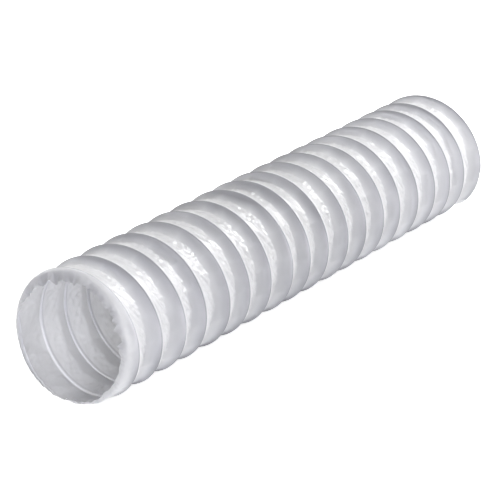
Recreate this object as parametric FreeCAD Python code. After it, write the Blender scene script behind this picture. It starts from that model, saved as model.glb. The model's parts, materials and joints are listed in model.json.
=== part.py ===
import FreeCAD, Part
import math
import os

# Flexible air duct: white film wound on a steel wire helix, lying on its side.
# Millimetres. +X runs along the duct from the near mouth, +Z is up, and the
# origin is the centre of the near mouth.

# Driving dimensions of the cross-section
BORE_D = 101.4          # clear bore at the seams and at both mouths
WIRE_D = 1.2            # spring wire, across the corners of its section
FILM_T = 0.25           # film wall
WIRE_PLAY = 0.15        # wire to film, inside the lap seam
VALLEY_DEPTH = 4.2      # crest to the bottom of the film between two turns
VALLEY_PLACE = 0.42     # where that bottom lies, as a share of the pitch
SEAM_LAP = 1.9          # film beyond the wire's centre line, each side
SHOULDER = 0.9          # half width of the flat crest before the wire
REST_FLAT = 0.5         # depth of the flat on which the duct lies

# Driving dimensions along the duct
PITCH = 25.6            # mean distance between turns, duct drawn out
PITCH_DRIFT = [0.9, 2.4, -1.1, 3.4, -0.6, 1.4, 2.9, -2.6, -1.1,
               1.9, -0.6, -0.1, -2.1, 1.4, -0.1, -2.6, -3.6, 0.4]
MOUTH_BAND = 3.2        # plain round band at each mouth
BAND_GAP = 0.5          # plain band to the edge of the film strip beside it
LAST_TURN = 1 / 2       # share of the last turn that the wire makes
FAR_TAIL = 4.5          # loose film between the end of the wire and the far band

# Driving dimensions of the winding
START_ANGLE = 72.0      # where the wire starts, degrees from the top to +Y
STEPS = 30              # straight facets in one turn
TURN_GAP = 0.3          # gap where one turn ends and the next begins

# Worked out from the dimensions above
PITCHES = [PITCH + drift for drift in PITCH_DRIFT]
TURNS = len(PITCHES) + 1
WIRE_CORNERS = 6
WIRE_HALF = WIRE_D / 2 * math.cos(math.pi / WIRE_CORNERS)
FACET = math.cos(math.pi / STEPS)
BORE_R = BORE_D / 2
INNER_LAP_R = BORE_R + FILM_T / 2
WIRE_R = BORE_R + FILM_T + WIRE_PLAY + WIRE_HALF
OUTER_LAP_R = WIRE_R + WIRE_HALF + WIRE_PLAY + FILM_T / 2
CREST_R = OUTER_LAP_R + FILM_T / 2
VALLEY_R = CREST_R - VALLEY_DEPTH - FILM_T / 2
BAND_OUTER_R = (BORE_R + FILM_T) / FACET
BAND_INNER_R = BORE_R - WIRE_PLAY
END_MARGIN = MOUTH_BAND + BAND_GAP + SEAM_LAP
WIRE_END = TURNS - 1 + LAST_TURN
GAP_TURNS = TURN_GAP / 2 / (2 * math.pi * WIRE_R)
REST_Z = -(CREST_R - REST_FLAT)
MARGIN = 5.0            # how far a cutting tool stands past what it cuts


def turn_centres():
    """X of the middle of each turn of wire."""
    centres = [END_MARGIN + PITCHES[0] / 2]
    for pitch in PITCHES:
        centres.append(centres[-1] + pitch)
    return centres


CENTRES = turn_centres()


def wire_x(turn):
    """X of the wire after so many turns from its start."""
    place = min(max(turn - 0.5, 0.0), len(PITCHES) - 1e-9)
    index = int(place)
    if turn < 0.5:
        return CENTRES[0] + (turn - 0.5) * PITCHES[0]
    if turn > TURNS - 0.5:
        return CENTRES[-1] + (turn - TURNS + 0.5) * PITCHES[-1]
    return CENTRES[index] + (place - index) * PITCHES[index]


FAR_X = wire_x(WIRE_END) + FAR_TAIL + END_MARGIN


def at(x, radius, turn):
    """Point at a place along the duct, a radius and a turn of the winding."""
    angle = math.radians(START_ANGLE - 360 * turn)
    return FreeCAD.Vector(x, radius * math.sin(angle), radius * math.cos(angle))


def ring(points, turn):
    """Corners of a closed (x, radius) section, in the plane of a turn angle."""
    return [at(x, radius, turn) for x, radius in points]


def facet(*corners):
    """Flat face through its corners."""
    return Part.Face(Part.makePolygon(list(corners) + [corners[0]]))


def stations(first, last):
    """Turn values from first to last, in steps of one facet, with the end gaps."""
    count = round((last - first) * STEPS)
    inner = [first + i / STEPS for i in range(1, count)]
    return [first + GAP_TURNS] + inner + [last - GAP_TURNS]


def wound(profile, first, last):
    """Solid of flat facets that winds a section round the duct from first to last."""
    rings = [ring(profile(turn), turn) for turn in stations(first, last)]
    faces = [facet(*rings[0]), facet(*rings[-1])]
    for near, far in zip(rings, rings[1:]):
        for i in range(len(near)):
            faces.append(facet(near[i - 1], near[i], far[i]))
            faces.append(facet(near[i - 1], far[i], far[i - 1]))
    solid = Part.Solid(Part.Shell(faces))
    if solid.Volume < 0:
        solid.reverse()
    return solid


def film_wall(line):
    """Closed outline of film about its middle line, half a wall each side."""
    top = [(x, radius + wall / 2) for x, radius, wall in line]
    bottom = [(x, radius - wall / 2) for x, radius, wall in reversed(line)]
    return top + bottom


def wire_profile(turn):
    """Section of the wire, with a flat side towards the duct's axis."""
    step = 2 * math.pi / WIRE_CORNERS
    corners = []
    for i in range(WIRE_CORNERS):
        x = wire_x(turn) + WIRE_D / 2 * math.cos(i * step)
        corners.append((x, WIRE_R + WIRE_D / 2 * math.sin(i * step)))
    return corners


def far_edge(turn):
    """Middle line of the film's far edge, over the wire or drawn in past its end."""
    start = wire_x(min(turn, WIRE_END)) - SHOULDER
    if turn <= WIRE_END:
        end = wire_x(turn) + SEAM_LAP
        return [(start, OUTER_LAP_R, FILM_T), (end, OUTER_LAP_R, FILM_T)]
    end = FAR_X - MOUTH_BAND - BAND_GAP
    return [(start, INNER_LAP_R, FILM_T), (end, INNER_LAP_R, FILM_T)]


def film_profile(turn):
    """Film from under one turn of wire, down the valley and over the next turn."""
    start = wire_x(turn)
    end = wire_x(min(turn + 1, WIRE_END))
    valley = start + VALLEY_PLACE * (end - start)
    line = [(start - SEAM_LAP, INNER_LAP_R, FILM_T), (valley, VALLEY_R, FILM_T)]
    return film_wall(line + far_edge(turn + 1))


def near_profile(turn):
    """Film from the near band to over the first turn of wire."""
    band_r = (BAND_OUTER_R + BAND_INNER_R) / 2
    line = [(MOUTH_BAND, band_r, BAND_OUTER_R - BAND_INNER_R)]
    return film_wall(line + far_edge(turn + 1))


def far_profile(turn):
    """Film from under the last turn of wire to the far band."""
    band_r = (BAND_OUTER_R + BAND_INNER_R) / 2
    start = (wire_x(turn) - SEAM_LAP, INNER_LAP_R, FILM_T)
    end = (FAR_X - MOUTH_BAND, band_r, BAND_OUTER_R - BAND_INNER_R)
    return film_wall([start, end])


def prism(x0, x1, radius):
    """Many-sided bar along the duct, with the facets of the winding."""
    corners = [at(x0, radius, i / STEPS) for i in range(STEPS)]
    return facet(*corners).extrude(FreeCAD.Vector(x1 - x0, 0, 0))


def mouth_band(x0, x1):
    """Band at a mouth, faceted outside, still to be bored."""
    return prism(x0, x1, BAND_OUTER_R).cut(prism(x0, x1, BAND_INNER_R))


def bored(shape, x0, x1):
    """Shape with the round bore of a mouth between x0 and x1."""
    along = FreeCAD.Vector(1, 0, 0)
    tool = Part.makeCylinder(BORE_R, x1 - x0, FreeCAD.Vector(x0, 0, 0), along)
    return shape.cut(tool)


def rested(shape):
    """Shape cut flat where the duct lies on a surface."""
    width = 2 * (CREST_R + MARGIN)
    length = FAR_X + 2 * MARGIN
    corner = FreeCAD.Vector(-MARGIN, -width / 2, REST_Z - 2 * MARGIN)
    return shape.cut(Part.makeBox(length, width, 2 * MARGIN, corner))


def near_cuff():
    """Free film at the near mouth, out to the first turn of wire."""
    wing = wound(near_profile, -1, 0)
    band = mouth_band(0, MOUTH_BAND)
    return bored(band.fuse(wing), -MARGIN, MOUTH_BAND)


def far_cuff():
    """Free film at the far mouth, from the last turn of wire."""
    wing = wound(far_profile, TURNS - 1, WIRE_END)
    band = mouth_band(FAR_X - MOUTH_BAND, FAR_X)
    return bored(band.fuse(wing), FAR_X - MOUTH_BAND, FAR_X + MARGIN)


def wire_turn(index):
    """One turn of the wire helix."""
    return wound(wire_profile, index, min(index + 1, WIRE_END))


def film_turn(index):
    """One turn of the film strip, between two turns of wire."""
    return wound(film_profile, index, index + 1)


def solid_of(shape):
    """The one solid that a piece must be."""
    solids = shape.Solids
    if len(solids) != 1 or not solids[0].isValid():
        raise ValueError("a piece is not one valid solid")
    return solids[0]


pieces = {"near_cuff": near_cuff(), "far_cuff": far_cuff()}
for index in range(TURNS):
    pieces[f"wire_turn_{index + 1:02d}"] = wire_turn(index)
for index in range(TURNS - 1):
    pieces[f"film_turn_{index + 1:02d}"] = film_turn(index)

os.makedirs("parts", exist_ok=True)
for name, shape in pieces.items():
    solid = solid_of(rested(shape))
    solid.exportStep(f"parts/{name}.step")

print(f"length {FAR_X:.1f} mm, crest radius {CREST_R:.2f} mm, bore radius {BORE_R:.2f} mm")
print(f"turn centres {[round(x, 1) for x in CENTRES]}")
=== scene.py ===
"""Flexible air duct: crinkled white film wound on a spring-wire helix."""

import json
import logging
import math
from collections import defaultdict
from collections.abc import Iterator
from dataclasses import dataclass, field
from enum import Enum

import bmesh
import bpy
import numpy as np
from mathutils import Matrix, Vector, noise


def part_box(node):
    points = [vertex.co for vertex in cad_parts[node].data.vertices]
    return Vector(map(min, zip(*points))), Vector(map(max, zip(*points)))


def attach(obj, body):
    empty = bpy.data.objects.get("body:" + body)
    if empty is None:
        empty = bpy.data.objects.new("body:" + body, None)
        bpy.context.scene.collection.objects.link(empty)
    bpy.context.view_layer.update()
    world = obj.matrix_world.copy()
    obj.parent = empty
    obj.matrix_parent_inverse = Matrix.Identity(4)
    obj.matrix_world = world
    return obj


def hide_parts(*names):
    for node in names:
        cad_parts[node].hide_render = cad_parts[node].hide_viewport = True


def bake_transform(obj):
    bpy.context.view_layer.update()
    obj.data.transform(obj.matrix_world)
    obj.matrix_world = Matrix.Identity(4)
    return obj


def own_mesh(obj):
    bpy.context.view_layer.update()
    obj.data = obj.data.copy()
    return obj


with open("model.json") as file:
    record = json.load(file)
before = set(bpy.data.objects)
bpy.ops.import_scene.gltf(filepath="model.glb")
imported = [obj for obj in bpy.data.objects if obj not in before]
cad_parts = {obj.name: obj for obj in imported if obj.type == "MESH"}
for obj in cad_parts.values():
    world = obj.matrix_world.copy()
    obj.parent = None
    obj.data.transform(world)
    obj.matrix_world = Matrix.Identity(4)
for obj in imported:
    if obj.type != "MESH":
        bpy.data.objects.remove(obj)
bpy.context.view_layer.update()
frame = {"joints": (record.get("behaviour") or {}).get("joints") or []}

log = logging.getLogger("duct")

MM = 0.001
SEED = 7
REST_PLACE = "rest_place"
# Attribute with the share of painted shade towards each crest.
PAINTED_SHADE = "painted_shade"
FALLING = "falling"
STRIP_PLACE = "strip_place"

Range = tuple[float, float]
Triple = tuple[float, float, float]
Section = list[tuple[float, float]]


class Kind(Enum):
    """The two materials that the duct is wound from."""

    FILM = "film"
    WIRE = "wire"


class Zone(Enum):
    """The parts of the duct that move in ways of their own."""

    NEAR_END = "near_end"
    FOLD = "fold"
    BEND = "bend"
    FAR_END = "far_end"


@dataclass(frozen=True)
class Bay:
    """Film between two turns of wire, and the two joints that move it."""

    number: int
    start: float
    middle: float
    end: float
    travel: float

    @property
    def name(self) -> str:
        """Two-digit number of the bay."""
        return f"{self.number:02d}"

    @property
    def next_name(self) -> str:
        """Two-digit number of the bay after it."""
        return f"{self.number + 1:02d}"


@dataclass
class DuctPlan:
    """Sizes of the duct, read from the frame, in metres."""

    bays: list[Bay] = field(default_factory=list)
    crest_r: float = 0.0
    wire_r: float = 0.0
    rest_z: float = 0.0
    far_x: float = 0.0
    start_angle: float = 72.0
    last_turn: float = 0.5
    wire_depth: float = 0.92 * MM

    @classmethod
    def from_frame(cls) -> "DuctPlan":
        """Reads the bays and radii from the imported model.

        Returns:
            The plan that every piece is built from.
        """
        joints = {joint["name"]: joint for joint in frame["joints"]}
        count = len([name for name in joints if name.startswith("stretch_")])
        starts = []
        for i in range(1, count + 1):
            moved = joints[f"stretch_{i:02d}"]["deforming_nodes"][0]
            starts.append(moved["fixed_end_x_m"])
        hinge = joints["bend_01"]["pos_m"][0]
        zone = 2 * (starts[1] - hinge)
        ends = starts[1:] + [joints[f"bend_{count:02d}"]["pos_m"][0] + zone / 2]
        plan = cls()
        for i, (start, end) in enumerate(zip(starts, ends), start=1):
            travel = -joints[f"stretch_{i:02d}"]["range_m"][0]
            plan.bays.append(Bay(i, start, end - zone, end, travel))
        plan.crest_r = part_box("film_turn_02")[1][2]
        plan.rest_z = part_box("film_turn_02")[0][2]
        plan.far_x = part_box("far_cuff")[1][0]
        plan.wire_r = plan.crest_r - cls.wire_depth
        return plan

    @property
    def centres(self) -> np.ndarray:
        """X of the middle of each turn of wire."""
        return np.array([bay.start for bay in self.bays] + [self.bays[-1].end])

    @property
    def wire_end(self) -> float:
        """Turns of wire from its start to its end."""
        return len(self.bays) + self.last_turn

    def wire_x(self, turn: np.ndarray) -> np.ndarray:
        """X of the wire after so many turns from its start.

        Args:
            turn: Turns from the start of the wire, below 0 before it.

        Returns:
            The place along the duct, in metres.
        """
        centres = self.centres
        first = centres[1] - centres[0]
        last = centres[-1] - centres[-2]
        middle = np.interp(turn - 0.5, np.arange(len(centres)), centres)
        before = np.minimum(turn - 0.5, 0.0) * first
        after = np.maximum(turn - 0.5 - (len(centres) - 1), 0.0) * last
        return middle + before + after


def points_of(mesh: bpy.types.Mesh) -> np.ndarray:
    """Reads where the vertices of a mesh are.

    Args:
        mesh: The mesh to read.

    Returns:
        One row for each vertex, in metres.
    """
    flat = np.empty(len(mesh.vertices) * 3, np.float32)
    mesh.vertices.foreach_get("co", flat)
    return flat.reshape(-1, 3).astype(float)


def place_points(mesh: bpy.types.Mesh, points: np.ndarray) -> None:
    """Moves the vertices of a mesh to new places."""
    mesh.vertices.foreach_set("co", points.astype(np.float32).ravel())
    mesh.update()


def note_values(mesh: bpy.types.Mesh, name: str, values: np.ndarray) -> None:
    """Keeps one value, or one vector, for each vertex as an attribute of the mesh.

    Args:
        mesh: The mesh to add the attribute to.
        name: Name of the attribute.
        values: One number or one row for each vertex.
    """
    if values.ndim == 1:
        layer = mesh.attributes.new(name, "FLOAT", "POINT")
        layer.data.foreach_set("value", values.astype(np.float32))
    else:
        layer = mesh.attributes.new(name, "FLOAT_VECTOR", "POINT")
        layer.data.foreach_set("vector", values.astype(np.float32).ravel())


def smooth(low: float, high: float, value: np.ndarray) -> np.ndarray:
    """Smooth step from 0 at low to 1 at high."""
    t = np.clip((value - low) / (high - low), 0, 1)
    return t * t * (3 - 2 * t)


def rounded(drop: np.ndarray, roundness: float) -> np.ndarray:
    """Rounds off the sharp top of a tent whose drop is 0 at the top."""
    return np.sqrt(drop**2 + roundness**2) - roundness


@dataclass(frozen=True)
class Pattern:
    """Noise of one size along X, Y and Z, in metres, and the seed that picks it."""

    size: Triple
    seed: float

    def places(self, points: np.ndarray) -> list[Vector]:
        """Turns points in metres into places in the noise."""
        return [Vector(p) for p in points / np.array(self.size) + self.seed]

    def soft(self, points: np.ndarray) -> np.ndarray:
        """Smooth waves, about -1 to 1, one value for each point."""
        return np.array([noise.noise(place) for place in self.places(points)])

    def crumpled(self, points: np.ndarray) -> np.ndarray:
        """Dents, 0 to about 1, with sharp creases between them where they are largest."""
        return np.array([noise.voronoi(place)[0][0] for place in self.places(points)]) ** 2


def mesh_of(work: bmesh.types.BMesh, name: str) -> bpy.types.Mesh:
    """Turns a bmesh into a mesh of its own, and frees it.

    Args:
        work: The bmesh to turn.
        name: Name of the mesh.

    Returns:
        The new mesh.
    """
    mesh = bpy.data.meshes.new(name)
    work.to_mesh(mesh)
    work.free()
    return mesh


def cut_off(work: bmesh.types.BMesh, place: Triple, away: Vector) -> list:
    """Cuts a mesh at a plane, and clears the side that the normal points to.

    Args:
        work: The mesh to cut.
        place: A point of the plane.
        away: Normal of the plane.

    Returns:
        The vertices and edges that lie on the cut.
    """
    cut = bmesh.ops.bisect_plane(
        work,
        geom=work.verts[:] + work.edges[:] + work.faces[:],
        dist=0.0001 * MM,
        plane_co=place,
        plane_no=away,
        clear_outer=True,
    )
    return cut["geom_cut"]


@dataclass
class Winding:
    """A section wound round the duct's axis with one even pitch, still to be shaped."""

    plan: DuctPlan
    steps: int = 320
    pitch: float = 25.6 * MM
    merge_gap: float = 0.01 * MM
    turn_error: float = 1e-4

    def wound(self, section: Section, closed: bool, first: int, last: float) -> bpy.types.Mesh:
        """Winds a section round the axis.

        Args:
            section: Points of the section, as offsets along X and outward from the crest.
            closed: True if the section is a ring, as a wire's is.
            first: Turn at which the winding starts.
            last: Turn at which it ends.

        Returns:
            A plain round mesh of even pitch.
        """
        work = bmesh.new()
        whole_turn = self.one_turn(section, closed, 1.0)
        part_turn = self.one_turn(section, closed, (last - first) % 1 or 1.0)
        for turn in range(first, math.ceil(last)):
            one = part_turn if turn + 1 > last else whole_turn
            work.from_mesh(one)
            work.verts.ensure_lookup_table()
            added = work.verts[len(work.verts) - len(one.vertices) :]
            bmesh.ops.translate(work, verts=added, vec=(turn * self.pitch, 0, 0))
        bpy.data.meshes.remove(whole_turn)
        bpy.data.meshes.remove(part_turn)
        bmesh.ops.remove_doubles(work, verts=work.verts, dist=self.merge_gap)
        bmesh.ops.recalc_face_normals(work, faces=work.faces)
        return mesh_of(work, "winding")

    def one_turn(self, section: Section, closed: bool, share: float) -> bpy.types.Mesh:
        """Spins the section through one turn, or a share of one.

        Args:
            section: Points of the section, as offsets along X and outward from the crest.
            closed: True if the section is a ring.
            share: Share of a full turn, at most 1.

        Returns:
            The mesh of that turn.
        """
        work = bmesh.new()
        angle = math.radians(self.plan.start_angle)
        row = []
        for along, outward in section:
            radius = self.plan.crest_r + outward
            row.append(work.verts.new((along, radius * math.sin(angle), radius * math.cos(angle))))
        pairs = list(zip(row, row[1:])) + ([(row[-1], row[0])] if closed else [])
        edges = [work.edges.new(pair) for pair in pairs]
        bmesh.ops.spin(
            work,
            geom=row + edges,
            cent=(0, 0, 0),
            axis=(1, 0, 0),
            dvec=(self.pitch / self.steps, 0, 0),
            angle=2 * math.pi * share,
            steps=round(self.steps * share),
            use_merge=False,
            use_duplicate=False,
        )
        return mesh_of(work, "turn")

    def places(self, points: np.ndarray) -> tuple[np.ndarray, np.ndarray]:
        """Finds each point's turn and its share of the strip from one turn to the next.

        Args:
            points: Points of the plain winding.

        Returns:
            The turn of the strip's starting edge, and the share across it.
        """
        angle = np.degrees(np.arctan2(points[:, 1], points[:, 2]))
        part = ((self.plan.start_angle - angle) / 360) % 1
        whole = np.floor(points[:, 0] / self.pitch - part + self.turn_error)
        share = points[:, 0] / self.pitch - part - whole
        return whole + part, np.clip(share, 0, 1)

    def nearest_line(self, points: np.ndarray) -> tuple[np.ndarray, np.ndarray]:
        """Finds each point's turn on the winding's own line, and how far along X it lies from it.

        Args:
            points: Points of the plain winding.

        Returns:
            The turn and the offset in metres.
        """
        turn, share = self.places(points)
        past = share > 0.5
        return turn + past, (share - past) * self.pitch


@dataclass
class MouthEdge:
    """One cut end of the film: a tilted plane, with a ragged edge that curls in."""

    middle_x: float
    lean_y: float
    lean_z: float
    inward: int
    notch: float
    seed: float
    edge_r: float = 47.2 * MM
    reach: float = 5.4 * MM
    flutter: float = 2.6 * MM
    hang: float = 3.4 * MM
    fade: float = 1.5
    torn_side: Triple = (0.0, -0.5, 0.87)
    torn_range: Range = (-0.3, 0.5)
    hung_side: Triple = (0.0, 0.26, 0.966)
    hung_range: Range = (0.5, 1.0)
    whole_side: float = 0.35
    bite_size: float = 6 * MM
    bite_depth: float = 1.8
    nick_size: float = 2.0 * MM
    nick_depth: float = 0.8
    wave_sizes: Triple = (8 * MM, 3.4 * MM, 5 * MM)
    wave_heights: Triple = (1.0, 0.5, -2.4)
    wave_lift: float = 0.3
    curl: float = 0.9

    @property
    def normal(self) -> Vector:
        """Normal of the cutting plane, pointing out of the duct."""
        return Vector((1, -self.lean_y, -self.lean_z)) * -self.inward

    def depth(self, points: np.ndarray) -> np.ndarray:
        """How far each point lies inside the cut, along X."""
        edge = self.middle_x + self.lean_y * points[:, 1] + self.lean_z * points[:, 2]
        return (points[:, 0] - edge) * self.inward

    def ragged(self, points: np.ndarray) -> np.ndarray:
        """Moves the film by the cut so that its edge is notched, wavy and curled in.

        Args:
            points: Places of the film's vertices, after the end is cut.

        Returns:
            The places with a ragged edge.
        """
        moved = points.copy()
        depth = self.depth(points)
        touched = depth < self.reach
        film = points[touched]
        near = (1 - smooth(0, self.reach, depth[touched])) ** self.fade
        radius = np.hypot(film[:, 1], film[:, 2])
        around = film * np.array([0, 1, 1]) / radius[:, None] * self.edge_r
        facing = (around @ np.array(self.torn_side)) / self.edge_r
        torn = self.whole_side + (1 - self.whole_side) * smooth(*self.torn_range, facing)
        bites = np.clip(self.edge_noise(around, self.bite_size, 0) * self.bite_depth, 0, 1)
        nicks = np.abs(self.edge_noise(around, self.nick_size, 5))
        film[:, 0] += self.inward * self.notch * near * torn * (bites + self.nick_depth * nicks)
        wide, narrow, pinch = self.wave_sizes
        wide_height, narrow_height, pinch_height = self.wave_heights
        flutter = wide_height * self.edge_noise(around, wide, 9)
        flutter += narrow_height * self.edge_noise(around, narrow, 13)
        flutter += self.wave_lift + pinch_height * np.abs(self.edge_noise(around, pinch, 2))
        upper = around @ np.array(self.hung_side) / self.edge_r
        hanging = self.hang * smooth(*self.hung_range, upper)
        curled = np.maximum(radius - self.edge_r + hanging, 0) * near * self.curl
        lift = 1 + (near * torn * flutter * self.flutter - curled) / radius
        film[:, 1:] *= lift[:, None]
        moved[touched] = film
        return moved

    def edge_noise(self, around: np.ndarray, size: float, pattern: float) -> np.ndarray:
        """Smooth noise round the edge, of one size, with a pattern of its own."""
        return Pattern((1, size, size), self.seed + pattern).soft(around)


@dataclass
class StripPlaces:
    """Where the vertices of the film lie on the strip it is wound from, as arrays.

    The height is that above the duct's axis, as a share of the radius. The fold, as a share
    of the pitch, and its depth in metres are filled in by the fold line.
    """

    turn: np.ndarray
    share: np.ndarray
    pitch: np.ndarray
    height: np.ndarray
    points: np.ndarray
    turn_length: float
    fold: np.ndarray | None = None
    depth: np.ndarray | None = None
    crest_range: Range = (0.02, 0.14)
    fold_range: Range = (0.9, 1.0)

    @property
    def before(self) -> np.ndarray:
        """How far the next turn of wire is, in metres."""
        return (1 - self.share) * self.pitch

    @property
    def after(self) -> np.ndarray:
        """How far the turn of wire behind is, in metres."""
        return self.share * self.pitch

    @property
    def falling(self) -> np.ndarray:
        """1 where the film falls from a crest to the fold, 0 elsewhere."""
        folded = smooth(*self.fold_range, self.share / self.fold)
        return smooth(*self.crest_range, self.share) * (1 - folded)

    def slanted(self, degrees: float) -> np.ndarray:
        """Places on the flat strip, turned so that the first axis runs along a crease.

        Args:
            degrees: Angle from the strip's edge to the crease.

        Returns:
            One place for each vertex, in metres.
        """
        lean = math.radians(degrees)
        along = self.turn * self.turn_length
        first = along * math.cos(lean) + self.after * math.sin(lean)
        second = self.after * math.cos(lean) - along * math.sin(lean)
        return np.stack([first, second, 0 * first], 1)


@dataclass
class FoldLine:
    """The bottom of the film between two turns of wire: flat facets that zigzag a little."""

    plan: DuctPlan
    depth: float = 4.7 * MM
    place: float = 0.53
    top_shift: float = 0.14
    zigzag_place: float = 0.055
    drift_place: float = 0.05
    drift_depth: float = 0.2
    zigzag_depth: float = 0.06
    sag_share: float = 0.8
    facets_a_turn: float = 26.0
    facet_range: Range = (0.6, 1.4)
    pull_range: Range = (0.3, 1.0)
    first_turn: int = -2
    spare_turns: int = 4
    drift: Pattern = Pattern((90 * MM, 60 * MM, 60 * MM), 3.1)
    rng: np.random.Generator = field(default_factory=lambda: np.random.default_rng(SEED))

    def corners(self) -> tuple[np.ndarray, np.ndarray]:
        """Facet corners along the winding, and the pull of each.

        Returns:
            The turn of each corner and a value from -1 to 1 for it.
        """
        count = int((self.plan.wire_end + self.spare_turns) * self.facets_a_turn)
        gaps = self.rng.uniform(*self.facet_range, count)
        turns = self.first_turn + np.cumsum(gaps) / self.facets_a_turn
        sides = np.where(np.arange(count) % 2, 1, -1)
        return turns, self.rng.uniform(*self.pull_range, count) * sides

    def lay(self, at: StripPlaces) -> None:
        """Works out the fold's share across the strip, and its depth, for every vertex.

        Args:
            at: Where the vertices lie on the strip, whose fold and depth are filled in.
        """
        turns, pull = self.corners()
        row = np.clip(np.searchsorted(turns, at.turn) - 1, 0, len(turns) - 2)
        width = turns[row + 1] - turns[row]
        along = (at.turn - turns[row]) / width
        zigzag = pull[row] * (1 - along) + pull[row + 1] * along
        sag = self.plan.crest_r * (1 - np.cos(math.pi * width)) * (1 - (2 * along - 1) ** 2)
        drift = self.drift.soft(at.points)
        shift = self.zigzag_place * zigzag + self.drift_place * drift
        at.fold = self.place + self.top_shift * at.height + shift
        change = self.drift_depth * drift + self.zigzag_depth * zigzag
        at.depth = self.depth * (1 + change) + self.sag_share * sag


@dataclass(frozen=True)
class Pleats:
    """Oblique creases where the film that falls from a crest is gathered."""

    depth: float = 0.85 * MM
    a_turn: float = 52.0
    lean: float = 1.1
    wander: float = 0.9
    cross_share: float = 0.73
    cross_lean: float = 1.4
    cross_wander: float = 1.3
    level: float = 0.3
    growth: Range = (0.05, 0.75)
    least: float = 0.55
    patchy: float = 0.9
    patch_lift: float = 0.3
    warp: Pattern = Pattern((16 * MM, 16 * MM, 16 * MM), 6.2)
    patch: Pattern = Pattern((24 * MM, 18 * MM, 18 * MM), 1.7)

    def height(self, at: StripPlaces, fall: np.ndarray) -> np.ndarray:
        """Works out how high the pleats stand.

        Args:
            at: Where the vertices lie on the strip.
            fall: Share of the way from the crest to the fold, 1 beyond it.

        Returns:
            The height in metres.
        """
        warp = self.warp.soft(at.points)
        leaning = at.turn * self.a_turn + self.lean * fall + self.wander * warp
        crossing = at.turn * self.a_turn * self.cross_share - self.cross_lean * fall
        crossing += self.cross_wander * warp
        ridge = np.abs((leaning % 1) * 2 - 1)
        cross = np.abs((crossing % 1) * 2 - 1)
        diamond = np.minimum(ridge, cross) - self.level
        patch = np.clip(self.patch.soft(at.points) + self.patch_lift, 0, 1)
        strength = smooth(*self.growth, fall) * (self.least + self.patchy * patch)
        return self.depth * diamond * strength * (fall < 1)


@dataclass(frozen=True)
class Puckers:
    """Small long dents, mostly on the film that falls away from each crest."""

    crease_lean: float = 28.0
    dent_height: float = 1.15 * MM
    fine_height: float = 0.45 * MM
    slack_height: float = 0.4 * MM
    gentle_height: float = 0.12 * MM
    level: float = 0.25
    start_range: Range = (0.03, 0.2)
    end_range: Range = (0.75, 0.97)
    dents: Pattern = Pattern((15 * MM, 4.6 * MM, 1.0), 9.7)
    fine: Pattern = Pattern((9 * MM, 3.2 * MM, 1.0), 4.4)
    slack: Pattern = Pattern((30 * MM, 13 * MM, 13 * MM), 5.3)
    gentle: Pattern = Pattern((40 * MM, 7 * MM, 7 * MM), 7.9)

    def drop(self, at: StripPlaces) -> np.ndarray:
        """Works out how far the dents reach in.

        Args:
            at: Where the vertices lie on the strip.

        Returns:
            The drop that they add, in metres.
        """
        everywhere = smooth(*self.start_range, at.share) * (1 - smooth(*self.end_range, at.share))
        dents = self.dents.crumpled(at.slanted(self.crease_lean)) - self.level
        fine = self.fine.crumpled(at.slanted(-self.crease_lean)) - self.level
        slack = self.slack.soft(at.points)
        gentle = self.gentle.soft(at.points)
        lumps = (self.dent_height * dents + self.fine_height * fine) * at.falling
        waves = self.slack_height * slack + self.gentle_height * gentle
        return lumps + waves * everywhere


@dataclass(frozen=True)
class LooseEnds:
    """The film before the first turn of wire and past the last, which no wire holds round."""

    cuff_drop: float = 2.5 * MM
    cuff_reach: float = 11 * MM
    loose_range: Range = (1 * MM, 6 * MM)
    slack_height: float = 1.3 * MM
    crease_height: float = 1.1 * MM
    level: float = 0.25
    tail_drop: float = 8 * MM
    tail_reach: float = 3.6 * MM
    tail_slack: float = 0.15
    wire_cover: float = 0.7 * MM
    slack: Pattern = Pattern((25 * MM, 14 * MM, 14 * MM), 8.8)
    crease: Pattern = Pattern((12 * MM, 5 * MM, 5 * MM), 2.9)

    def drops(self, at: StripPlaces, wire_end: float) -> tuple[np.ndarray, np.ndarray]:
        """Works out how far the two ends lie below the crest radius.

        Args:
            at: Where the vertices lie on the strip.
            wire_end: Turns of wire from its start to its end.

        Returns:
            The drop of the near cuff and that of the far tail, in metres.
        """
        slack = self.slack.soft(at.points)
        crease = self.crease.crumpled(at.points) - self.level
        loose = smooth(*self.loose_range, at.before)
        cuff = self.cuff_drop * (1 - np.exp(-at.before / self.cuff_reach))
        cuff += loose * (self.slack_height * slack + self.crease_height * crease)
        after = at.after + np.where(at.turn > wire_end, at.pitch, 0)
        beyond = np.maximum(after - self.wire_cover, 0)
        tail = self.tail_drop * (1 - np.exp(-beyond / self.tail_reach))
        return cuff, tail * (1 + self.tail_slack * slack)


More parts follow.
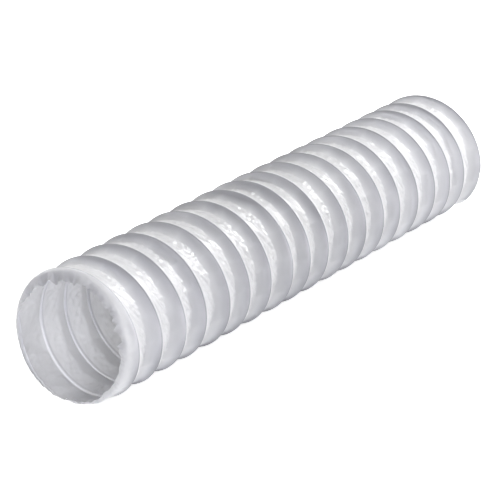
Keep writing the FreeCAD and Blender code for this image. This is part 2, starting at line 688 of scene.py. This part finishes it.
@dataclass(frozen=True)
class PaintedCrestShade:
    """Painted shade on the film: a band that darkens towards each crest, and a dark line along the
    crest.
    """

    line_before: float = 0.5
    before_range: Range = (0.3 * MM, 0.9 * MM)
    line_after: float = 0.7
    after_range: Range = (0.3 * MM, 1.3 * MM)
    line_start: Range = (-1.0, -0.8)
    crest_shade: float = 0.42
    crest_shade_upright: float = 0.5
    crest_shade_patchy: float = 0.5
    crest_shade_range: Range = (0.5 * MM, 10 * MM)
    crest_shade_start: Range = (-0.62, -0.42)
    patch: Pattern = Pattern((60 * MM, 40 * MM, 40 * MM), 12.4)

    def shade_share(self, at: StripPlaces) -> np.ndarray:
        """Works out how much painted shade the film gets.

        Args:
            at: Where the vertices lie on the strip.

        Returns:
            Share of the painted shade colour, 0 for plain film.
        """
        # Painted shade: a dark line along each crest, on both sides of it.
        line = self.line_before * (1 - smooth(*self.before_range, at.before))
        line += self.line_after * (1 - smooth(*self.after_range, at.after))
        # Painted shade: a band that darkens towards each crest, stronger at the top and bottom of
        # the duct and in patches.
        upright = self.crest_shade_upright * np.abs(at.height)
        patch = self.crest_shade_patchy * self.patch.soft(at.points)
        crest_shade = (self.crest_shade + upright + patch) * (1 - smooth(*self.crest_shade_range, at.before))
        shown = line * smooth(*self.line_start, at.turn)
        return shown + crest_shade * smooth(*self.crest_shade_start, at.turn)


@dataclass
class FilmSkin:
    """The wound film: outer and inner face, crests, valleys, puckers and mouths."""

    plan: DuctPlan
    wall: float = 0.12 * MM
    seam: float = 1.6 * MM
    seam_range: Range = (0.6 * MM, 1.5 * MM)
    crest_round: float = 0.1 * MM
    fall_power: float = 0.88
    rise_bend: float = 0.6
    inner_creases: float = 0.15
    strip_start: Range = (-0.05, 0.005)
    end_share: float = 0.9
    end_fade: float = 0.14
    pleats: Pleats = Pleats()
    puckers: Puckers = Puckers()
    loose_ends: LooseEnds = LooseEnds()
    painted_crest_shade: PaintedCrestShade = PaintedCrestShade()

    @property
    def strip_end(self) -> float:
        """The turn at which the film lets go of the wire."""
        return self.plan.wire_end - self.end_share

    def section(self) -> list[float]:
        """Places the rows of the mesh across the strip, close together at the wire.

        Returns:
            Shares of the pitch, from 0 to 1.
        """
        near = [0.0, 0.012, 0.026, 0.042, 0.062, 0.086, 0.115]
        open_film = [0.115 + 0.0375 * i for i in range(1, 20)]
        far = [0.86, 0.878, 0.883, 0.905, 0.928, 0.948, 0.964, 0.977, 0.989, 1.0]
        return near + open_film + far

    def bay_drop(self, at: StripPlaces) -> np.ndarray:
        """How far the film lies below the crests, between two turns of wire.

        Args:
            at: Where the vertices lie on the strip.

        Returns:
            The drop in metres.
        """
        fall = np.clip(at.share / at.fold, 0, 1)
        rise = np.clip((at.share - at.fold) / (1 - at.fold), 0, 1)
        falling = at.depth * fall**self.fall_power - self.pleats.height(at, fall)
        rising = at.depth * (1 - (1 - self.rise_bend) * rise - self.rise_bend * rise**2)
        return rounded(np.where(at.share < at.fold, falling, rising), self.crest_round)

    def drop(self, at: StripPlaces) -> np.ndarray:
        """How far the outer face lies below the crest radius, over the whole duct.

        Args:
            at: Where the vertices lie on the strip.

        Returns:
            The drop in metres.
        """
        body = self.bay_drop(at) + self.puckers.drop(at)
        cuff, tail = self.loose_ends.drops(at, self.plan.wire_end)
        wound = smooth(*self.strip_start, at.turn)
        ended = smooth(self.strip_end, self.strip_end + self.end_fade, at.turn)
        return (1 - ended) * (wound * body + (1 - wound) * cuff) + ended * tail

    def faces(self, winding: Winding) -> tuple[bpy.types.Mesh, bpy.types.Mesh]:
        """Winds the film and shapes its two faces, which run on past both mouths.

        Args:
            winding: The winding to make it with.

        Returns:
            The outer face and the inner one.
        """
        section = [(share * winding.pitch, 0.0) for share in self.section()]
        fold = FoldLine(self.plan)
        last = math.ceil(self.plan.wire_end) + 1
        outer = winding.wound(section, False, fold.first_turn, last)
        flat = points_of(outer)
        turn, share = winding.places(flat)
        start = self.plan.wire_x(turn)
        pitch = self.plan.wire_x(turn + 1) - start
        angle = np.arctan2(flat[:, 1], flat[:, 2])
        outward = np.stack([0 * angle, np.sin(angle), np.cos(angle)], 1)
        along = np.outer(start + share * pitch, [1, 0, 0])
        crests = along + self.plan.crest_r * outward
        height = np.cos(np.radians(self.plan.start_angle - 360 * turn))
        at = StripPlaces(turn, share, pitch, height, crests, 2 * math.pi * self.plan.crest_r)
        fold.lay(at)
        radius = self.plan.crest_r - self.drop(at)
        from_wire = np.minimum(share, 1 - share) * pitch
        covered = (turn < self.plan.wire_end) & (turn > -1)
        lapped = (1 - smooth(*self.seam_range, from_wire)) * covered
        thickness = self.wall + self.seam * lapped
        note_values(outer, STRIP_PLACE, at.slanted(self.puckers.crease_lean))
        inner = outer.copy()
        # Painted shade towards each crest, on the outer face only.
        note_values(outer, PAINTED_SHADE, self.painted_crest_shade.shade_share(at) * (turn < self.strip_end))
        note_values(inner, PAINTED_SHADE, 0 * share)
        note_values(outer, FALLING, at.falling)
        note_values(inner, FALLING, self.inner_creases * at.falling)
        place_points(outer, along + outward * radius[:, None])
        place_points(inner, along + outward * (radius - thickness)[:, None])
        inner.flip_normals()
        return outer, inner

    def build(
        self, winding: Winding, mouths: list[MouthEdge], cutter: "BayCutter"
    ) -> list["Stretch"]:
        """Makes the whole film, its faces joined at the mouths, and divides it.

        Args:
            winding: The winding to make it with.
            mouths: The near and the far cut end.
            cutter: The cutter that knows the bays.

        Returns:
            One stretch of film for each part that moves by itself.
        """
        work = bmesh.new()
        for mesh in self.faces(winding):
            work.from_mesh(mesh)
            bpy.data.meshes.remove(mesh)
        for mouth in mouths:
            self.cut_end(work, mouth)
        whole = mesh_of(work, "film_whole")
        points = points_of(whole)
        for mouth in mouths:
            points = mouth.ragged(points)
        points[:, 2] = np.maximum(points[:, 2], self.plan.rest_z)
        place_points(whole, points)
        return cutter.divide(whole, Kind.FILM)

    def cut_end(self, work: bmesh.types.BMesh, mouth: MouthEdge) -> None:
        """Cuts one end of the film off at a plane, and joins its two faces there.

        Args:
            work: Both faces of the film.
            mouth: The end to cut.
        """
        cut = cut_off(work, (mouth.middle_x, 0, 0), mouth.normal)
        rims = [item for item in cut if isinstance(item, bmesh.types.BMEdge)]
        bmesh.ops.bridge_loops(work, edges=rims)


@dataclass
class WireHelix:
    """The spring wire inside the lap seam of the film."""

    plan: DuctPlan
    half: float = 0.6 * MM
    corners: int = 10
    cover: float = 0.3 * MM

    def build(self, winding: Winding, cutter: "BayCutter") -> list["Stretch"]:
        """Winds the wire and divides it where the film is divided.

        Args:
            winding: The winding to make it with.
            cutter: The cutter that knows the bays.

        Returns:
            One stretch of wire for each part that moves by itself.
        """
        ring = []
        for i in range(self.corners):
            angle = 2 * math.pi * i / self.corners
            outward = self.plan.wire_r - self.plan.crest_r + self.half * math.sin(angle)
            ring.append((self.half * math.cos(angle), outward))
        mesh = winding.wound(ring, True, 0, self.plan.wire_end)
        flat = points_of(mesh)
        turn, offset = winding.nearest_line(flat)
        points = flat.copy()
        points[:, 0] = self.plan.wire_x(turn) + offset
        lowest = self.plan.rest_z + self.cover
        points[:, 2] = np.maximum(points[:, 2], lowest)
        place_points(mesh, points)
        work = bmesh.new()
        work.from_mesh(mesh)
        bmesh.ops.holes_fill(work, edges=[edge for edge in work.edges if edge.is_boundary])
        work.to_mesh(mesh)
        work.free()
        note_values(mesh, REST_PLACE, points)
        return cutter.divide(mesh, Kind.WIRE)


@dataclass
class Stretch:
    """A part of the film or of the wire that moves by itself."""

    kind: Kind
    zone: Zone
    bay: Bay
    mesh: bpy.types.Mesh

    @property
    def name(self) -> str:
        """Name of the finished piece."""
        if self.zone in (Zone.NEAR_END, Zone.FAR_END):
            return f"{self.kind.value}_{self.zone.value}"
        return f"{self.kind.value}_{self.zone.value}_{self.bay.name}"

    @property
    def node(self) -> str:
        """Finds the CAD node that the piece stands for.

        Returns:
            Its name.
        """
        if self.zone is Zone.NEAR_END:
            return "near_cuff" if self.kind is Kind.FILM else "wire_turn_01"
        if self.zone is Zone.FAR_END:
            return "far_cuff" if self.kind is Kind.FILM else f"wire_turn_{self.bay.next_name}"
        if self.kind is Kind.FILM:
            return f"film_turn_{self.bay.name}"
        return f"wire_turn_{self.bay.name if self.zone is Zone.FOLD else self.bay.next_name}"

    def mount(self, material: bpy.types.Material, slot: str) -> None:
        """Makes the piece's object, hangs an end or fold piece on the empty of its turn, bakes a
        bend piece's place into its mesh, and hides the CAD node that it stands for.

        Args:
            material: The finish.
            slot: The record's material slot; not used.
        """
        self.mesh.materials.append(material)
        piece = bpy.data.objects.new(self.name, self.mesh)
        bpy.context.scene.collection.objects.link(piece)
        bay = self.bay
        if self.zone is Zone.NEAR_END:
            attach(piece, f"turn_{bay.name}")
        elif self.zone is Zone.FAR_END:
            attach(piece, f"turn_{bay.next_name}")
        elif self.zone is Zone.FOLD:
            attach(piece, f"turn_{bay.name}")
            f"stretch_{bay.name}"
            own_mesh(piece)
        else:
            bodies = (f"film_{bay.name}", f"turn_{bay.next_name}")
            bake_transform(piece)
        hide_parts(self.node)
        log.info("%s: %d faces", piece.name, len(piece.data.polygons))


@dataclass
class BayCutter:
    """Divides the wound pieces along the duct, so that each part moves with its bodies."""

    plan: DuctPlan
    normal_name: str = "whole_normal"
    film_rim: int = 100

    def planes(self) -> list[float]:
        """Works out where the pieces are cut, from the near mouth to the far one.

        Returns:
            X of every cut.
        """
        cuts = []
        for bay in self.plan.bays:
            cuts += [bay.start, bay.middle]
        return cuts + [self.plan.bays[-1].end]

    def zone(self, index: int) -> tuple[Zone, Bay]:
        """Finds what a part is, by its number from the near mouth.

        Args:
            index: Number of the part, from 0.

        Returns:
            The part's zone, and the bay that it belongs to.
        """
        bays = self.plan.bays
        if index == 0:
            return Zone.NEAR_END, bays[0]
        if index > 2 * len(bays):
            return Zone.FAR_END, bays[-1]
        return (Zone.FOLD, Zone.BEND)[(index - 1) % 2], bays[(index - 1) // 2]

    def divide(self, whole: bpy.types.Mesh, kind: Kind) -> list[Stretch]:
        """Splits a whole piece at its cuts, and keeps its shading across them.

        Args:
            whole: The whole wound piece.
            kind: What it is wound from.

        Returns:
            One stretch for each part, from the near mouth on.
        """
        work = bmesh.new()
        work.from_mesh(whole)
        bpy.data.meshes.remove(whole)
        work.normal_update()
        shade = work.verts.layers.float_vector.new(self.normal_name)
        for vert in work.verts:
            vert[shade] = vert.normal
        stretches = []
        for index, part in self.halve(work, 0, len(self.planes())):
            if part.faces:
                self.close_ends(part)
                mesh = mesh_of(part, f"{kind.value}_{index:02d}")
                self.shade(mesh)
                stretches.append(Stretch(kind, *self.zone(index), mesh))
            else:
                part.free()
        return stretches

    def halve(
        self, work: bmesh.types.BMesh, first: int, last: int
    ) -> Iterator[tuple[int, bmesh.types.BMesh]]:
        """Halves a mesh at the cuts until each part lies in one zone.

        Args:
            work: The mesh, from the first zone to the last.
            first: Number of its first zone.
            last: Number of its last zone.

        Yields:
            The number of each zone, and its part of the mesh.
        """
        if first == last:
            yield first, work
            return
        middle = (first + last) // 2
        place = (self.planes()[middle], 0, 0)
        after = work.copy()
        cut_off(work, place, Vector((1, 0, 0)))
        cut_off(after, place, Vector((-1, 0, 0)))
        yield from self.halve(work, first, middle)
        yield from self.halve(after, middle + 1, last)

    def shade(self, mesh: bpy.types.Mesh) -> None:
        """Shades a part with the normals of the whole piece, so that no cut shows.

        Args:
            mesh: The part, with those normals as an attribute.
        """
        normals = np.empty(len(mesh.vertices) * 3, np.float32)
        mesh.attributes[self.normal_name].data.foreach_get("vector", normals)
        mesh.polygons.foreach_set("use_smooth", [True] * len(mesh.polygons))
        mesh.normals_split_custom_set_from_vertices(normals.reshape(-1, 3).tolist())
        mesh.attributes.remove(mesh.attributes[self.normal_name])

    def close_ends(self, part: bmesh.types.BMesh) -> None:
        """Closes the cut ends of one part, so that it is a solid of its own.

        Args:
            part: The part, open where it was cut.
        """
        rims = defaultdict(list)
        for edge in part.edges:
            if edge.is_boundary:
                rims[round(edge.verts[0].co.x, 5)].append(edge)
        for rim in rims.values():
            if self.ring_count(rim) == 2 and len(rim) > self.film_rim:
                bmesh.ops.bridge_loops(part, edges=rim)
            else:
                bmesh.ops.holes_fill(part, edges=rim)

    def ring_count(self, rim: list[bmesh.types.BMEdge]) -> int:
        """Counts the rings that boundary edges form.

        Args:
            rim: The edges that lie on one cut.

        Returns:
            The number of rings.
        """
        left = set(rim)
        count = 0
        while left:
            count += 1
            stack = [left.pop()]
            while stack:
                ends = stack.pop().verts
                near = [edge for vert in ends for edge in vert.link_edges if edge in left]
                left.difference_update(near)
                stack += near
        return count


class NodeTree:
    """Short calls that build a shader node tree."""

    def __init__(self, tree: bpy.types.NodeTree) -> None:
        """Works on one node tree."""
        self.tree = tree

    def node(self, kind: str, **settings: object) -> bpy.types.Node:
        """Adds a node and sets its properties.

        Args:
            kind: Blender's name of the node.
            settings: Properties by name.

        Returns:
            The new node.
        """
        made = self.tree.nodes.new(kind)
        for name, value in settings.items():
            setattr(made, name, value)
        return made

    def feed(self, socket: bpy.types.NodeSocket, value: object) -> None:
        """Links a socket, or sets its plain value.

        Args:
            socket: The input to fill.
            value: An output socket or a plain value.
        """
        if isinstance(value, bpy.types.NodeSocket):
            self.tree.links.new(value, socket)
        else:
            socket.default_value = value

    def fill(self, node: bpy.types.Node, values: dict[str, object]) -> None:
        """Fills inputs of a node by their names."""
        for name, value in values.items():
            self.feed(node.inputs[name], value)

    def math(self, operation: str, *inputs: object, kind: str = "Math") -> bpy.types.NodeSocket:
        """Adds a math node.

        Args:
            operation: Blender's name of the operation.
            inputs: Its inputs in order, as sockets or plain values.
            kind: Math for numbers, VectorMath for vectors.

        Returns:
            The output socket.
        """
        made = self.node(f"ShaderNode{kind}", operation=operation)
        for socket, value in zip(made.inputs, inputs):
            self.feed(socket, value)
        return made.outputs[0]

    def mix(self, share: object, first: object, second: object) -> bpy.types.NodeSocket:
        """Mixes two colours.

        Args:
            share: How much of the second colour there is.
            first: First colour, as a socket or four numbers.
            second: Second colour, likewise.

        Returns:
            The output socket.
        """
        made = self.node("ShaderNodeMix", data_type="RGBA")
        self.fill(made, {"Factor": share, "A": first, "B": second})
        return made.outputs["Result"]

    def grain(
        self, place: bpy.types.NodeSocket, scale: float, detail: float = 2.0
    ) -> bpy.types.bpy_prop_collection:
        """Adds a noise texture.

        Args:
            place: Where on the surface it is read.
            scale: Grains a metre.
            detail: Finer layers of noise.

        Returns:
            The outputs, by name.
        """
        made = self.node("ShaderNodeTexNoise")
        self.fill(made, {"Vector": place, "Scale": scale, "Detail": detail})
        return made.outputs

    def attribute(self, name: str, output: str = "Fac") -> bpy.types.NodeSocket:
        """Reads an attribute of the mesh, as a number or as a vector."""
        return self.node("ShaderNodeAttribute", attribute_name=name).outputs[output]

    def spread(self, value: object, *limits: float) -> bpy.types.NodeSocket:
        """Maps a range of values to another, smoothly and clamped.

        Args:
            value: The socket or number to map.
            limits: Low and high value in, then low and high value out.

        Returns:
            The output socket.
        """
        made = self.node("ShaderNodeMapRange", interpolation_type="SMOOTHSTEP")
        for name, number in zip(("From Min", "From Max", "To Min", "To Max"), limits):
            made.inputs[name].default_value = number
        self.feed(made.inputs["Value"], value)
        return made.outputs["Result"]


def new_material(name: str) -> tuple[bpy.types.Material, NodeTree, bpy.types.Node]:
    """Starts a material with a plain Principled shader.

    Args:
        name: Name of the material.

    Returns:
        The material, its node tree and its shader.
    """
    material = bpy.data.materials.new(name)
    material.use_nodes = True
    shader = material.node_tree.nodes["Principled BSDF"]
    return material, NodeTree(material.node_tree), shader


@dataclass(frozen=True)
class CrinkleGroup:
    """Node group: fine creases of thin film, as a height and as a mask."""

    creases_a_metre: float = 230.0
    stretch: Triple = (0.3, 1.0, 1.0)
    warp_scale: float = 90.0
    warp_reach: float = 3 * MM
    ripple_scale: float = 620.0
    ripple_height: float = 0.12
    crease_width: float = 0.12

    def build(self) -> bpy.types.NodeTree:
        """Builds the group once.

        Returns:
            The node group, with inputs Place and Creases a Metre, and outputs Height and Crease.
        """
        group = bpy.data.node_groups.new("film_crinkle", "ShaderNodeTree")
        face = group.interface
        face.new_socket("Place", in_out="INPUT", socket_type="NodeSocketVector")
        size = face.new_socket("Creases a Metre", in_out="INPUT", socket_type="NodeSocketFloat")
        size.default_value = self.creases_a_metre
        face.new_socket("Height", in_out="OUTPUT", socket_type="NodeSocketFloat")
        face.new_socket("Crease", in_out="OUTPUT", socket_type="NodeSocketFloat")
        tree = NodeTree(group)
        entry = tree.node("NodeGroupInput").outputs
        place = entry["Place"]
        stretched = tree.math("MULTIPLY", place, self.stretch, kind="VectorMath")
        warp = tree.grain(place, self.warp_scale)["Color"]
        reach = [self.warp_reach] * 3
        warped = tree.math("MULTIPLY_ADD", warp, reach, stretched, kind="VectorMath")
        cells = tree.node("ShaderNodeTexVoronoi", feature="F1")
        edges = tree.node("ShaderNodeTexVoronoi", feature="DISTANCE_TO_EDGE")
        for voronoi in (cells, edges):
            tree.fill(voronoi, {"Vector": warped, "Scale": entry["Creases a Metre"]})
        dents = tree.math("POWER", cells.outputs["Distance"], 2.0)
        ripple = tree.grain(place, self.ripple_scale, 3.0)["Fac"]
        height = tree.math("MULTIPLY_ADD", ripple, self.ripple_height, dents)
        crease = tree.spread(edges.outputs["Distance"], 0.0, self.crease_width, 1.0, 0.0)
        tree.fill(tree.node("NodeGroupOutput"), {"Height": height, "Crease": crease})
        return group


@dataclass(frozen=True)
class FilmFinish:
    """White semi-gloss film, crinkled where it folds, smooth where it is stretched."""

    colour: Triple = (0.915, 0.915, 0.95)
    # Colour of the painted shade in the creases.
    crease_shade_colour: Triple = (0.8, 0.8, 0.83)
    # Colour of the painted shade towards each crest, and the roughness added where it lies.
    painted_shade_colour: Triple = (0.4, 0.4, 0.42)
    shade_mask_dulling: float = 0.5
    dent_range: Range = (0.0, 0.6)
    gloss: Range = (0.3, 0.46)
    bump: float = 1.0
    bump_height: float = 0.6 * MM
    flat_share: float = 0.03
    crease_share: float = 0.55
    refraction: float = 1.5
    shine: float = 0.42
    scatter: float = 0.65 * MM

    def build(self, crinkle: bpy.types.NodeTree) -> bpy.types.Material:
        """Builds the material.

        Args:
            crinkle: The crinkle node group.

        Returns:
            The finished material.
        """
        material, tree, shader = new_material("white_film")
        creases = tree.node("ShaderNodeGroup", node_tree=crinkle)
        tree.fill(creases, {"Place": tree.attribute(STRIP_PLACE, "Vector")})
        gathered = 1 - self.flat_share
        amount = tree.math("MULTIPLY_ADD", tree.attribute(FALLING), gathered, self.flat_share)
        height = tree.math("MULTIPLY", creases.outputs["Height"], amount)
        bump = tree.node("ShaderNodeBump")
        tree.fill(bump, {"Strength": self.bump, "Distance": self.bump_height, "Height": height})
        # Painted shade: the creases of the falling film are darkened.
        crease_shade = tree.math("MULTIPLY", creases.outputs["Crease"], amount)
        crease_shade = tree.math("MULTIPLY", crease_shade, self.crease_share)
        tint = tree.mix(crease_shade, (*self.colour, 1), (*self.crease_shade_colour, 1))
        # Painted shade: this mask darkens the colour towards each crest, and also dulls the gloss
        # there.
        lap = tree.attribute(PAINTED_SHADE)
        gloss = tree.spread(creases.outputs["Height"], *self.dent_range, *self.gloss)
        looks = {
            "Base Color": tree.mix(lap, tint, (*self.painted_shade_colour, 1)),
            "Roughness": tree.math("MULTIPLY_ADD", lap, self.shade_mask_dulling, gloss),
            "Normal": bump.outputs["Normal"],
            "IOR": self.refraction,
            "Specular IOR Level": self.shine,
            "Subsurface Weight": 1.0,
            "Subsurface Radius": (1, 1, 1),
            "Subsurface Scale": self.scatter,
        }
        tree.fill(shader, looks)
        return material


@dataclass(frozen=True)
class WireFinish:
    """Drawn spring steel: fine lines along the wire."""

    colour: Triple = (0.56, 0.57, 0.59)
    line_colour: Triple = (0.42, 0.42, 0.43)
    lines_a_metre: float = 2400.0
    line_range: Range = (0.3, 0.7)
    gloss: Range = (0.28, 0.42)

    def build(self) -> bpy.types.Material:
        """Builds the material.

        Returns:
            The finished material.
        """
        material, tree, shader = new_material("spring_steel")
        lines = tree.grain(tree.attribute(REST_PLACE, "Vector"), self.lines_a_metre)["Fac"]
        looks = {
            "Base Color": tree.mix(lines, (*self.colour, 1), (*self.line_colour, 1)),
            "Metallic": 1.0,
            "Roughness": tree.spread(lines, *self.line_range, *self.gloss),
        }
        tree.fill(shader, looks)
        return material


@dataclass(frozen=True)
class Lamp:
    """One soft studio lamp, aimed at the duct."""

    name: str
    place: Triple
    size: float
    power: float
    colour: Triple = (1.0, 1.0, 1.0)

    def build(self, aim: Vector) -> None:
        """Hangs the lamp and turns it to its aim.

        Args:
            aim: The point that it shines at.
        """
        light = bpy.data.lights.new(self.name, "AREA")
        light.shape = "DISK"
        light.size = self.size
        light.energy = self.power
        light.color = self.colour
        lamp = bpy.data.objects.new(self.name, light)
        bpy.context.scene.collection.objects.link(lamp)
        lamp.location = self.place
        lamp.rotation_euler = (aim - Vector(self.place)).to_track_quat("-Z", "Y").to_euler()


@dataclass
class Studio:
    """Pale floor, white surroundings, lamps and the camera."""

    plan: DuctPlan
    ambient: float = 0.1
    floor_half: float = 6.0
    floor_colour: float = 0.82
    floor_glow: float = 0.8
    lamps: tuple[Lamp, ...] = (
        Lamp("key_lamp", (3.0, -1.2, 1.5), 0.8, 116.0),
        Lamp("back_lamp", (-0.3, 2.1, 1.6), 1.2, 24.0),
        Lamp("front_lamp", (-2.4, -0.5, 1.5), 0.9, 25.0),
        Lamp("side_lamp", (-1.7, -2.0, 0.15), 0.9, 31.0, (0.88, 0.89, 1.0)),
    )

    def build(self) -> None:
        """Builds floor, world, lamps and camera."""
        scene = bpy.context.scene
        scene.view_settings.view_transform = "Standard"
        self.build_world(scene)
        self.build_floor()
        aim = Vector((self.plan.far_x / 2, 0, 0))
        for lamp in self.lamps:
            lamp.build(aim)
        self.build_camera(scene)

    def rays_that_see(self, tree: NodeTree) -> bpy.types.NodeSocket:
        """Tells the rays that see the backdrop from those that carry light.

        Args:
            tree: The node tree to add it to.

        Returns:
            1 for the camera's rays and for those that a glossy or clear surface sends on.
        """
        rays = tree.node("ShaderNodeLightPath").outputs
        sent_on = tree.math("MAXIMUM", rays["Is Glossy Ray"], rays["Is Transmission Ray"])
        return tree.math("MAXIMUM", rays["Is Camera Ray"], sent_on)

    def build_world(self, scene: bpy.types.Scene) -> None:
        """White to the camera and in reflections, a dimmer white as light.

        Args:
            scene: The scene whose world it is.
        """
        world = bpy.data.worlds.new("studio")
        world.use_nodes = True
        scene.world = world
        tree = NodeTree(world.node_tree)
        strength = tree.spread(self.rays_that_see(tree), 0.0, 1.0, self.ambient, 1.0)
        backdrop = world.node_tree.nodes["Background"]
        tree.fill(backdrop, {"Color": (1, 1, 1, 1), "Strength": strength})

    def build_floor(self) -> None:
        """Large pale floor that the duct lies on."""
        work = bmesh.new()
        bmesh.ops.create_grid(work, x_segments=1, y_segments=1, size=self.floor_half)
        bmesh.ops.translate(work, verts=work.verts, vec=(self.plan.far_x / 2, 0, self.plan.rest_z))
        mesh = mesh_of(work, "floor")
        mesh.materials.append(self.floor_material())
        floor = bpy.data.objects.new("floor", mesh)
        bpy.context.scene.collection.objects.link(floor)

    def floor_material(self) -> bpy.types.Material:
        """Matt white, lifted for the camera so that it reads as a white studio floor.

        Returns:
            The finished material.
        """
        material, tree, shader = new_material("studio_floor")
        looks = {
            "Base Color": (*[self.floor_colour] * 3, 1),
            "Roughness": 0.9,
            "Emission Color": (1, 1, 1, 1),
            "Emission Strength": tree.math("MULTIPLY", self.rays_that_see(tree), self.floor_glow),
        }
        tree.fill(shader, looks)
        return material

    def build_camera(self, scene: bpy.types.Scene) -> None:
        """Camera at the viewing angle of the reference, with a long lens.

        Args:
            scene: The scene that it renders.
        """
        view = ViewFit()
        camera = bpy.data.objects.new("camera", bpy.data.cameras.new("camera"))
        camera.data.sensor_width = view.sensor * 1000
        camera.data.lens = view.sensor * 1000 * view.focal / view.frame
        camera.data.clip_end = 50.0
        camera.matrix_world = view.matrix()
        scene.collection.objects.link(camera)
        scene.camera = camera


@dataclass(frozen=True)
class ViewFit:
    """The camera as fitted to the crests, in degrees, metres and pixels of the 500-pixel frame."""

    focal: float = 2520.4
    frame: float = 500.0
    sensor: float = 0.036
    azimuth: float = -50.641
    elevation: float = 17.118
    roll: float = -7.947
    shift_x: float = -120.885 * MM
    shift_y: float = -59.562 * MM
    distance: float = 1831.677 * MM
    origin_x: float = 18.85 * MM

    def matrix(self) -> Matrix:
        """Place and turn of the camera.

        Returns:
            The camera's world matrix.
        """
        turn, tilt, roll = (math.radians(a) for a in (self.azimuth, self.elevation, self.roll))
        level = math.cos(tilt)
        back = Vector((math.sin(turn) * level, -math.cos(turn) * level, math.sin(tilt)))
        right = Vector((0, 0, 1)).cross(back).normalized()
        up = back.cross(right)
        rolled_right = math.cos(roll) * right + math.sin(roll) * up
        rolled_up = math.cos(roll) * up - math.sin(roll) * right
        place = self.distance * back - self.shift_x * rolled_right - self.shift_y * rolled_up
        place.x += self.origin_x
        turned = Matrix((rolled_right, rolled_up, back)).transposed().to_4x4()
        return Matrix.Translation(place) @ turned


def main() -> None:
    """Builds the duct, its finishes and the studio."""
    logging.basicConfig(level=logging.INFO, format="%(name)s: %(message)s")
    plan = DuctPlan.from_frame()
    winding = Winding(plan)
    cutter = BayCutter(plan)
    near = MouthEdge(
        middle_x=1.2 * MM, lean_y=-0.042, lean_z=0.05, inward=1, notch=1.7 * MM, seed=21.0
    )
    far = MouthEdge(
        middle_x=481.4 * MM,
        lean_y=-0.015,
        lean_z=-0.135,
        inward=-1,
        notch=0.0,
        seed=44.0,
        edge_r=plan.crest_r,
        flutter=0.0,
        hang=0.0,
    )
    film = FilmFinish().build(CrinkleGroup().build())
    steel = WireFinish().build()
    for stretch in FilmSkin(plan).build(winding, [near, far], cutter):
        stretch.mount(film, "film")
    for stretch in WireHelix(plan).build(winding, cutter):
        stretch.mount(steel, "spring_wire")
    Studio(plan).build()


if __name__ == "__main__":
    main()
